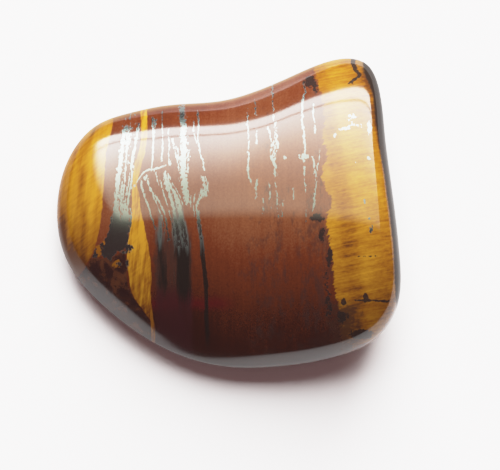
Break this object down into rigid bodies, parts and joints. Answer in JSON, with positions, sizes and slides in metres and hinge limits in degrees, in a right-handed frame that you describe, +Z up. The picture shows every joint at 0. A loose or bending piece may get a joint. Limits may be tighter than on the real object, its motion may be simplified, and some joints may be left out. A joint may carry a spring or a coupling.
{
  "type": "tumbled tiger iron stone",
  "caption": "Polished flat pebble of tiger iron, with gold tiger's eye, red-brown jasper and silvery hematite bands; lies flat as an ornament, worry stone or display piece.",
  "frame": {"origin": "middle of the stone's box in plan, at the level of the flat patch that it rests on", "axes": "+Z up through the thin way of the stone, +X along its longest way to the square end with the straight edge, +Y towards the edge with the shallow dip"},
  "size_m": [0.0342, 0.0308, 0.0122],
  "materials": {
    "polished_stone": "polished to a mirror-like gloss; bands of gold, red-brown and grey metallic stone"
  },
  "bodies": {
    "root": {"tumbled_stone": "polished_stone"}
  },
  "joints": []
}
